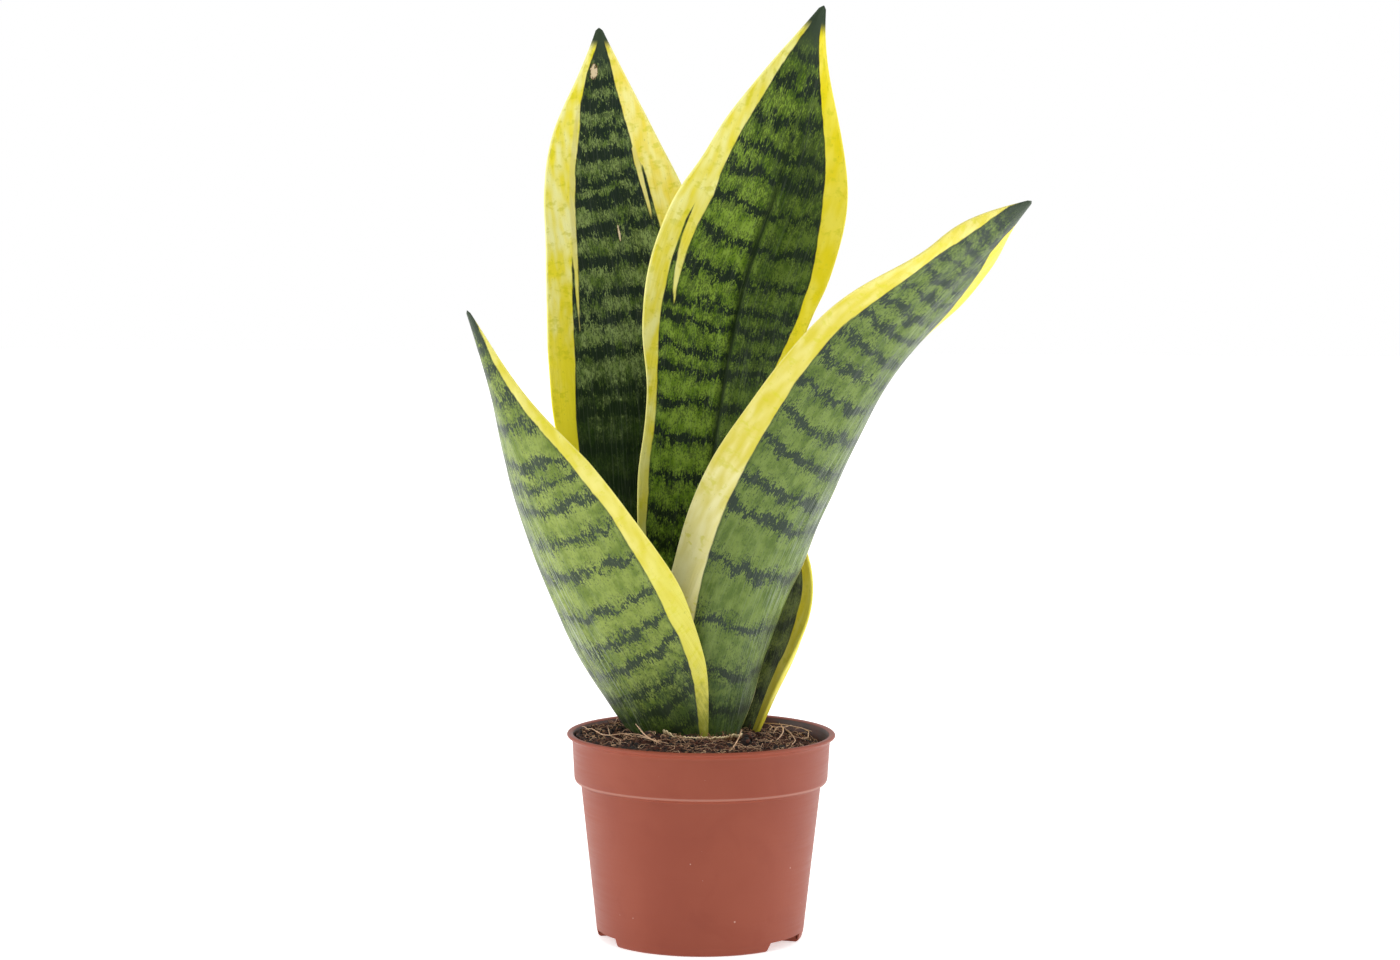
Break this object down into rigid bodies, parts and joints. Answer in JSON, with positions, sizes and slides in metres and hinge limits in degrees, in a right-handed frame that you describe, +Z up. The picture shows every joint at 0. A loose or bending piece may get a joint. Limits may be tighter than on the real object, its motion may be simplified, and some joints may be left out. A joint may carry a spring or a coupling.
{
  "type": "potted snake plant",
  "caption": "Snake plant with broad banded green leaves edged in yellow, rooted in dark fibrous soil in a round terracotta-coloured plastic nursery pot with a banded rim.",
  "frame": {"origin": "centre of the pot's underside, on the surface it stands on", "axes": "+Z up along the pot's axis, -Y towards the viewer of the picture, +X to that viewer's right"},
  "size_m": [0.2413, 0.1278, 0.4168],
  "materials": {
    "pot_plastic": "thin moulded polypropylene, terracotta red-brown, soft satin sheen",
    "potting_mix": "moist dark peat with pale coir fibres, rough and loose",
    "rhizome": "fleshy ochre rhizome, matt",
    "dry_sheath": "dry papery leaf sheath, frayed, matt",
    "leaf": "waxy leaf, dark green zigzag bands on mid green, broad yellow margins, soft sheen"
  },
  "bodies": {
    "root": {"pot": "pot_plastic", "soil": "potting_mix", "rhizome_crown": "rhizome", "dry_sheath": "dry_sheath", "leaf_front_left": "leaf", "leaf_front_right": "leaf", "leaf_back_right": "leaf", "leaf_back_left": "leaf", "leaf_small_right": "leaf"}
  },
  "joints": []
}
